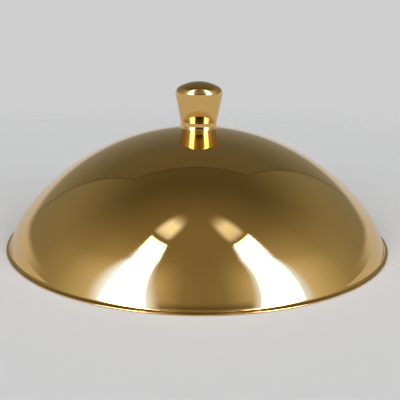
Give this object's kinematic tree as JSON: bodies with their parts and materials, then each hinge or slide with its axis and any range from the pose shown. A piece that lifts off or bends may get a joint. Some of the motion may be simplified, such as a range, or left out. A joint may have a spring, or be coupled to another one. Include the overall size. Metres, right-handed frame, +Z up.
{
  "type": "buffet food cover",
  "caption": "Round dome-shaped food cover in mirror-polished gold-toned metal, with an outward resting lip and a flared turned knob screwed on from inside.",
  "frame": {"origin": "centre of the plane that the lip rests on", "axes": "+Z up along the dome's axis, through the knob; X and Y in the resting plane"},
  "size_m": [0.26, 0.26, 0.1065],
  "materials": {
    "dome_gold": "gold-toned hard coating on polished stainless sheet, mirror outside, satin spun inside",
    "knob_gold": "gold-toned hard coating on turned and polished stainless bar",
    "gasket_rubber": "matt food-safe rubber",
    "washer_steel": "stamped stainless, tumbled",
    "spring_steel": "stainless spring wire, dull",
    "screw_steel": "cold-headed stainless, satin"
  },
  "bodies": {
    "root": {"dome_shell": "dome_gold", "knob": "knob_gold", "knob_gasket": "gasket_rubber", "flat_washer": "washer_steel", "lock_washer": "spring_steel", "knob_screw": "screw_steel"}
  },
  "joints": []
}
